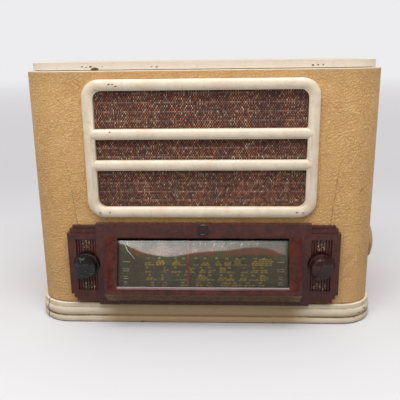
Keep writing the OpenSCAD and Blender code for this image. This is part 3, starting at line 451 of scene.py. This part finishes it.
PAINTS = {
    "leatherette": leatherette(),
    "cream_paint": cream_paint(),
    "maroon_bakelite": bakelite("maroon_bakelite", srgb(66, 26, 20), srgb(84, 38, 30), srgb(112, 68, 54),
                                worn=True),
    "black_bakelite": cracked_knob("black_bakelite", srgb(20, 18, 22), srgb(34, 28, 31), 0.12, 9.0,
                                   srgb(150, 142, 140)),
    "tan_plastic": tan_plastic(),
    "plywood": timber("plywood", srgb(204, 168, 120), srgb(160, 120, 76), 0),
    "softwood": timber("softwood", srgb(196, 158, 108), srgb(150, 108, 66), 1),
    "hardboard": hardboard(),
    "grille_cloth": woven(),
    "celluloid": glass("celluloid", (0.96, 0.94, 0.87), 0.24, 0.04),
    "dial_print": enamel("dial_print", srgb(102, 95, 46), srgb(116, 106, 54), 0.45, 5.0, 0.05),
    "red_enamel": enamel("red_enamel", srgb(232, 84, 54), srgb(208, 70, 46), 0.35, 3.0, 0.05),
    "plated_steel": metal("plated_steel", srgb(196, 192, 184), srgb(128, 112, 90), 0.28, (1.0, 0.1, 1.0)),
    "chassis_steel": metal("chassis_steel", srgb(176, 172, 160), srgb(120, 98, 70), 0.4,
                           (0.1, 1.0, 1.0), 0.6),
    "aluminium_sheet": metal("aluminium_sheet", srgb(208, 208, 206), srgb(160, 158, 152), 0.35,
                             (0.1, 1.0, 1.0)),
    "brass": metal("brass", srgb(198, 160, 92), srgb(120, 86, 46), 0.3, (1.0, 1.0, 0.2), 0.7),
    "lamp_glass": glass("lamp_glass", (0.94, 0.93, 0.88), 0.03, 0.03),
    "valve_glass": glass("valve_glass", (0.72, 0.72, 0.7), 0.03, 0.06),
    "drive_cord": enamel("drive_cord", srgb(150, 140, 116), srgb(112, 102, 82), 0.7, 1.0, 0.1),
    "paxolin": enamel("paxolin", srgb(138, 88, 46), srgb(112, 68, 34), 0.4, 4.0, 0.1),
    "black_enamel": enamel("black_enamel", srgb(24, 24, 25), srgb(38, 37, 36), 0.35, 5.0, 0.12),
    "cone_paper": enamel("cone_paper", srgb(62, 52, 44), srgb(46, 38, 32), 0.8, 2.0, 0.3),
    "rubber": enamel("rubber", srgb(32, 30, 29), srgb(48, 45, 42), 0.65, 3.0, 0.15),
}

# ---------- helpers for geometry ----------


def dress(node, paint, width_mm=0.0, segments=2):
    """Gives a CAD node its paint, and rounds its sharp edges as its real making does."""
    o = nodes[node]
    o.data.materials.clear()
    o.data.materials.append(paint)
    for polygon in o.data.polygons:
        polygon.use_smooth = True
    if width_mm:
        weld = o.modifiers.new("weld", "WELD")
        weld.merge_threshold = 1e-5
        bevel = o.modifiers.new("edge", "BEVEL")
        bevel.width = width_mm * MM
        bevel.segments = segments
        bevel.limit_method = "ANGLE"
        bevel.angle_limit = math.radians(30)
        bevel.harden_normals = True
        bevel.use_clamp_overlap = True
        even = o.modifiers.new("normals", "WEIGHTED_NORMAL")
        even.keep_sharp = True


def make_mesh(name, points, faces, paints, smooth=True):
    mesh = bpy.data.meshes.new(name)
    mesh.from_pydata([[v * MM for v in p] for p in points], [], faces)
    for paint in paints:
        mesh.materials.append(paint)
    for polygon in mesh.polygons:
        polygon.use_smooth = smooth
    mesh.update()
    o = bpy.data.objects.new(name, mesh)
    bpy.context.scene.collection.objects.link(o)
    return o


def lattice(columns, rows):
    """Faces of a grid whose points are made row by row."""
    return [(r * columns + c, r * columns + c + 1, (r + 1) * columns + c + 1, (r + 1) * columns + c)
            for r in range(rows - 1) for c in range(columns - 1)]


FRONT = FRONT_Y / MM
# the foot of the dial's slanted rim, out from the front and up, and the way up along the rim
RIM_LOW = (30.0, 55.0)
RIM_UP = (-21.0 / math.hypot(21.0, 63.0), 63.0 / math.hypot(21.0, 63.0))


def on_slope(x, up, depth):
    """A place on the slanted dial: up along it and depth behind its rim, in mm."""
    out = RIM_LOW[0] + RIM_UP[0] * up - RIM_UP[1] * depth
    return (x, FRONT - out, RIM_LOW[1] + RIM_UP[1] * up + RIM_UP[0] * depth)


# ---------- CAD nodes that stay ----------

# edge rounding in mm and its segments; everything else gets a fine break of its edges, except the cord
EDGES = {
    "top_slab": (1.8, 4), "top_trim": (0.5, 2), "grille_frame": (1.6, 4), "escutcheon": (0.9, 4),
    "emblem_disc": (0.2, 2), "tuning_knob": (0.9, 4), "volume_knob": (0.9, 4), "wave_knob": (1.0, 3),
    "grille_pins": (0.15, 2), "back_screws": (0.2, 2), "mains_grommet": (0.5, 3), "back_panel": (0.06, 1),
    "dial_cord": (0.0, 2),
}
paint_of = {part["node"]: part["material_slot"] for part in frame["record"]["subparts"]}
for name in sorted(nodes):
    dress(name, PAINTS[paint_of[name]], *EDGES.get(name, (0.3, 2)))
# the boss and the right knob are darker than the panel they sit on
dress("emblem_disc", bakelite("boss_bakelite", srgb(38, 16, 14), srgb(54, 24, 21), srgb(84, 48, 42), 0.3))
dress("tuning_knob", cracked_knob("maroon_knob", srgb(46, 20, 19), srgb(60, 29, 27), 0.14, 8.0,
                                  srgb(18, 8, 7)))

# ---------- grille cloth ----------


def grille_cloth():
    """Plain-woven cloth stretched behind the grille: every yarn float is a raised bump of the mesh."""
    low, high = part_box("grille_cloth")
    # the yarns' pitch across and up in mm, and the mesh's steps from one to the next
    warp, weft = 1.45, 2.15
    across, rise = 3, 4
    width, height = (high.x - low.x) / MM, (high.z - low.z) / MM
    columns = int(width / warp) * across + 1
    rows = int(height / weft) * rise + 1
    face_y = low.y / MM + 0.75
    random.seed(4)
    # colours of the raised yarns, each with the share of them up to it, and those of the sunk ones
    yarns = ((0.25, srgb(134, 72, 50)), (0.55, srgb(178, 106, 76)), (0.78, srgb(204, 138, 96)),
             (0.86, srgb(206, 104, 54)), (0.96, srgb(226, 174, 128)), (1.0, srgb(244, 214, 178)))
    brown, dark = srgb(80, 42, 32), srgb(44, 25, 20)
    grey, grey_dark = srgb(152, 148, 144), srgb(112, 108, 104)
    points, tints, shade = [], [], {}
    for r in range(rows):
        for c in range(columns):
            u, v = c / across, r / rise
            thread, pick = int(u), int(v)
            over = (thread + pick) % 2
            round_thread, round_pick = math.sin(math.pi * (u - thread)), math.sin(math.pi * (v - pick))
            lift, side = (round_pick, round_thread) if over else (0.75 * round_thread, round_pick)
            rounding = math.sqrt(abs(side))
            points.append((low.x / MM + c / (columns - 1) * width, face_y - 0.62 * lift * rounding,
                           low.z / MM + r / (rows - 1) * height))
            key = (thread, pick)
            if key not in shade:
                draw = random.random()
                if over:
                    shade[key] = next(tint for limit, tint in yarns if draw <= limit)
                elif pick % 5 == 1 and random.random() < 0.9:
                    shade[key] = grey if draw < 0.5 else grey_dark
                else:
                    shade[key] = brown if draw < 0.4 else dark
            # painted shade: each yarn's colour darkens towards its edges and where it dips under its
            # neighbours
            dip_shade = 0.4 + 0.6 * math.sqrt(abs(lift * side))
            tints.append([v * dip_shade for v in shade[key]])
    cloth = make_mesh("woven_grille_cloth", points, lattice(columns, rows), [PAINTS["grille_cloth"]])
    layer = cloth.data.color_attributes.new("yarn", "FLOAT_COLOR", "POINT")
    for i, tint in enumerate(tints):
        layer.data[i].color = (*tint, 1.0)
    thick = cloth.modifiers.new("thick", "SOLIDIFY")
    thick.thickness = 0.4 * MM
    thick.offset = -1.0
    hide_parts("grille_cloth")
    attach(cloth, "cabinet")


grille_cloth()

# ---------- dial ----------


def smooth(t):
    t = min(1.0, max(0.0, t))
    return t * t * (3.0 - 2.0 * t)


def crest_of(x):
    """How far up the dial the warped window stands out most."""
    dip = 7.0 * math.exp(-((x + 43.0) / 30.0) ** 2)
    hill = 5.0 * math.exp(-((x - 64.0) / 28.0) ** 2)
    return 49.5 - dip + hill + 9.0 * smooth((-x - 70.0) / 36.0) - 6.0 * smooth((x - 80.0) / 26.0)


WINDOW_HALF, WINDOW_LOW, WINDOW_HIGH, WINDOW_SEAT = 111.0, 2.8, 63.6, 4.6


def window_depth(x, up):
    """How far behind the rim the warped window's middle lies."""
    fall = 0.18
    crest = crest_of(x)
    below = fall * (WINDOW_HIGH - crest) * (up - WINDOW_LOW) / (crest - WINDOW_LOW)
    above = fall * (WINDOW_HIGH - up)
    bulge = 0.5 * (below + above - math.sqrt((below - above) ** 2 + 0.034))
    return WINDOW_SEAT - smooth((WINDOW_HALF - abs(x)) / 9.0) * bulge


def window():
    """The celluloid has warped with age: it bulges forward and rolls back to its seat along the top."""
    columns, rows = 149, 61
    points = []
    for r in range(rows):
        for c in range(columns):
            x = -WINDOW_HALF + 2 * WINDOW_HALF * c / (columns - 1)
            up = WINDOW_LOW + (WINDOW_HIGH - WINDOW_LOW) * r / (rows - 1)
            points.append(on_slope(x, up, window_depth(x, up)))
    pane = make_mesh("celluloid_window", points, lattice(columns, rows), [PAINTS["celluloid"]])
    thick = pane.modifiers.new("thick", "SOLIDIFY")
    thick.thickness = 0.4 * MM
    thick.offset = 0.0
    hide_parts("dial_window")
    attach(pane, "cabinet")


def window_crease_glints():
    """Painted highlights: white streaks where the celluloid's creases catch the light, short puckers along
    its top, two long creases at the left end.
    """
    random.seed(7)
    routes = []
    for i in range(10):
        foot, long = -12.0 + 8.6 * i + random.uniform(-3.0, 3.0), random.uniform(3.0, 7.0)
        lean, top = random.uniform(0.3, 1.0), random.uniform(60.5, 62.6)
        routes.append([(foot + lean * long * t, top - long * (1.0 - t)) for t in (0.0, 0.25, 0.5, 0.75, 1.0)])
    for top_x, top, long, slant in ((-101.0, 62.0, 23.0, 16.0), (-97.0, 63.0, 9.0, 7.0)):
        routes.append([(top_x + slant * t + 0.9 * math.sin(9.0 * t), top - long * t)
                       for t in (i / 9.0 for i in range(10))])
    points, faces = [], []
    for route in routes:
        first, last = len(points), len(route) - 1
        for i, (x, up) in enumerate(route):
            half = 0.06 + 0.3 * math.sin(math.pi * i / last)
            for side in (-1, 1):
                points.append(on_slope(x + side * half, up, window_depth(x, up) - 0.25))
        faces += [tuple(first + 2 * i + k for k in (0, 1, 3, 2)) for i in range(last)]
    # painted highlights: opaque white streaks stand in for light caught by the creases
    marks = make_mesh("celluloid_creases", points, faces,
                      [enamel("stress_white", srgb(226, 222, 212), srgb(186, 180, 168), 0.4, 2.0, 0.02)])
    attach(marks, "cabinet")


# each waveband's row from the top: its number's height up the slope, its rule's height, how many numbers
# it has, the first number and the step to the next, and how many lines of station blocks it has room for
BANDS = ((40.6, 30.6, 12, 160, 20, 4), (29.0, 21.6, 11, 310, 40, 3), (19.6, 12.0, 11, 500, 50, 3),
         (10.2, 5.2, 9, 1000, 150, 2))
SCALE_FROM, SCALE_TO = -80.0, 80.0
BLOCK_H, LINE_PITCH, BLOCK_LEAN = 1.6, 2.25, 0.5
LABEL_X = 97.0
PRINT_DEPTH = 11.94


def printed_scale():
    """Rules, generic numbers and blocks for station names, printed on the scale plate."""
    random.seed(11)
    rust, yellow, white = (enamel("ink_rust", srgb(164, 92, 54), srgb(146, 84, 50), 0.5, 3.0, 0.02),
                           enamel("ink_yellow", srgb(255, 226, 50), srgb(240, 204, 40), 0.5, 3.0, 0.02),
                           enamel("ink_white", srgb(255, 250, 230), srgb(240, 234, 212), 0.5, 3.0, 0.02))
    inks = [rust, yellow, white]
    points, faces, which = [], [], []

    def block(x0, x1, up0, up1, ink, lean=0.0):
        first = len(points)
        shift = lean * (up1 - up0)
        for x, up in ((x0, up0), (x1, up0), (x1 + shift, up1), (x0 + shift, up1)):
            points.append(on_slope(x, up, PRINT_DEPTH))
        faces.append(tuple(range(first, first + 4)))
        which.append(inks.index(ink))

    def line_of_blocks(x, end, up, tall, longest, ink, lean):
        while x < end:
            run = random.uniform(0.5, 1.0) * longest
            block(x, x + run, up, up + tall, ink, lean)
            x += run + random.uniform(0.15, 0.3) * longest

    # the band under the window's top edge, with the gap between its two lengths
    block(-93, 16, 44.6, 53.0, rust)
    block(27, 98, 44.6, 53.0, rust)
    places = []
    for band, (number_up, rule, count, first, step, lines) in enumerate(BANDS):
        block(-94, 86, rule - 0.25, rule + 0.25, rust)
        for x in range(-90, 87, 4):
            block(x - 0.12, x + 0.12, rule, rule + 0.9, white)
        for i in range(count):
            # the numbers draw together towards the right, as a tuning condenser spaces them
            share = (i + 0.5) / count
            x = SCALE_FROM + (SCALE_TO - SCALE_FROM) * share ** 0.85 + random.uniform(-3.0, 3.0)
            places.append((x, number_up, str(first + step * i)))
            crowd = max(1, round(random.uniform(0.25, 0.7 + 0.5 * share) * lines))
            wide = random.uniform(3.0, 9.0) + 3.0 * share
            if band == 0 and i == count - 1:
                crowd, wide = lines, 20.0
            for k in range(crowd):
                start = x - wide / 2 + 1.1 * k + random.uniform(-1.2, 1.2)
                up = rule + 1.2 + LINE_PITCH * k
                line_of_blocks(start, x + wide / 2, up, BLOCK_H, 4.6, yellow, BLOCK_LEAN)
        for side in (-1, 1):
            wide = 8.5 if band < 2 else 5.5
            for k in range(2 if rule < 25 else 1):
                up = rule + 5.0 - 2.6 * k
                x = side * LABEL_X
                line_of_blocks(x - wide / 2, x + wide / 2 - 1.0, up, 1.2, 1.7, white, 0.0)
    print_mesh = make_mesh("scale_printing", points, faces, inks, smooth=False)
    for polygon, ink in zip(print_mesh.data.polygons, which):
        polygon.material_index = ink
    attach(print_mesh, "cabinet")

    upright = Matrix.Rotation(math.pi / 2 - math.atan2(-RIM_UP[0], RIM_UP[1]), 4, "X")
    for i, (x, up, words) in enumerate(places):
        curve = bpy.data.curves.new("number", "FONT")
        curve.body = words
        curve.size = 2.3 * MM
        curve.offset = 0.09 * MM
        curve.align_x = "CENTER"
        curve.align_y = "CENTER"
        writing = bpy.data.objects.new("number", curve)
        bpy.context.scene.collection.objects.link(writing)
        bpy.context.view_layer.update()
        mesh = bpy.data.meshes.new_from_object(writing.evaluated_get(bpy.context.evaluated_depsgraph_get()))
        bpy.data.objects.remove(writing)
        place = Matrix.Translation([v * MM for v in on_slope(x, up, PRINT_DEPTH - 0.04)])
        mesh.transform(place @ upright)
        mesh.materials.clear()
        mesh.materials.append(white)
        number = bpy.data.objects.new(f"scale_number_{i}", mesh)
        bpy.context.scene.collection.objects.link(number)
        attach(number, "cabinet")


window()
window_crease_glints()
printed_scale()

# ---------- floor and light ----------

BACKDROP = srgb(237, 236, 238)
# each lamp's place in metres, size and power, and the place that both are turned to
LIT_AT = Vector((0, -0.1, 0.12))
LAMPS = {"key": ((-0.3, -1.1, 0.86), (0.8, 0.3), 2.0), "top": ((0.0, -0.72, 1.45), (1.4, 0.8), 16.8)}


def pale_floor():
    """A wide sheet that fades into the backdrop beyond the pool of light."""
    bpy.ops.mesh.primitive_circle_add(vertices=96, radius=14.0, fill_type="NGON")
    floor = bpy.context.active_object
    floor.name = "floor"
    g = Graph("pale_floor")
    reach = g.node("ShaderNodeVectorMath", operation="LENGTH")
    g.feed(reach.inputs[0], g.place)
    sheen = g.node("ShaderNodeEmission")
    g.feed(sheen.inputs["Color"],
           g.mix(g.ease(reach.outputs["Value"], 1.6, 9.0), srgb(212, 210, 212), BACKDROP))
    both = g.node("ShaderNodeMixShader")
    g.feed(both.inputs[0], g.ease(reach.outputs["Value"], 0.45, 1.3))
    g.tree.links.new(g.shader.outputs[0], both.inputs[1])
    g.tree.links.new(sheen.outputs[0], both.inputs[2])
    g.feed(g.tree.nodes["Material Output"].inputs["Surface"], both.outputs[0])
    # the sheet gives little soft light back and shows dark in reflections, as it does beyond the pool of
    # light that the lamps make; only where it is seen directly does it have its own pale colour
    seen_direct = g.node("ShaderNodeLightPath").outputs["Is Camera Ray"]
    floor.data.materials.append(g.done(g.mix(seen_direct, (0.3, 0.3, 0.3), (0.66, 0.655, 0.67)), 0.7, None,
                                       **{"Specular_IOR_Level": 0.2}))


def tent():
    """Soft light from all round, strongest overhead and weakest from the front. The camera sees it plain."""
    world = bpy.data.worlds.new("tent")
    bpy.context.scene.world = world
    world.use_nodes = True
    tree = world.node_tree
    sky = tree.nodes["Background"]
    direction = tree.nodes.new("ShaderNodeTexCoord").outputs["Generated"]
    apart = tree.nodes.new("ShaderNodeSeparateXYZ")
    tree.links.new(direction, apart.inputs[0])
    # from level to overhead
    lift = tree.nodes.new("ShaderNodeMapRange")
    lift.interpolation_type = "SMOOTHSTEP"
    for socket, v in zip(lift.inputs[1:], (0.45, 0.85, 0.0, 1.0)):
        socket.default_value = v
    tree.links.new(apart.outputs[2], lift.inputs[0])
    # from the front to behind
    front = tree.nodes.new("ShaderNodeMapRange")
    for socket, v in zip(front.inputs[1:], (-0.9, 0.2, 0.14, 0.6)):
        socket.default_value = v
    tree.links.new(apart.outputs[1], front.inputs[0])
    blend = tree.nodes.new("ShaderNodeMix")
    tree.links.new(lift.outputs[0], blend.inputs[0])
    tree.links.new(front.outputs[0], blend.inputs[2])
    blend.inputs[3].default_value = 1.0
    tree.links.new(blend.outputs[0], sky.inputs["Strength"])
    sky.inputs["Color"].default_value = (1.0, 0.99, 0.985, 1.0)
    seen = tree.nodes.new("ShaderNodeBackground")
    seen.inputs["Color"].default_value = (*BACKDROP, 1.0)
    path = tree.nodes.new("ShaderNodeLightPath")
    both = tree.nodes.new("ShaderNodeMixShader")
    tree.links.new(path.outputs["Is Camera Ray"], both.inputs[0])
    tree.links.new(sky.outputs[0], both.inputs[1])
    tree.links.new(seen.outputs[0], both.inputs[2])
    tree.links.new(both.outputs[0], tree.nodes["World Output"].inputs["Surface"])


def lamps():
    for name, (at, size, power) in LAMPS.items():
        lamp = bpy.data.lights.new(name, "AREA")
        lamp.shape = "RECTANGLE"
        lamp.size, lamp.size_y = size
        lamp.energy = power
        holder = bpy.data.objects.new(name, lamp)
        holder.location = at
        holder.rotation_mode = "QUATERNION"
        holder.rotation_quaternion = (LIT_AT - Vector(at)).to_track_quat("-Z", "Y")
        bpy.context.scene.collection.objects.link(holder)


bpy.context.scene.view_settings.view_transform = "Standard"
pale_floor()
tent()
lamps()
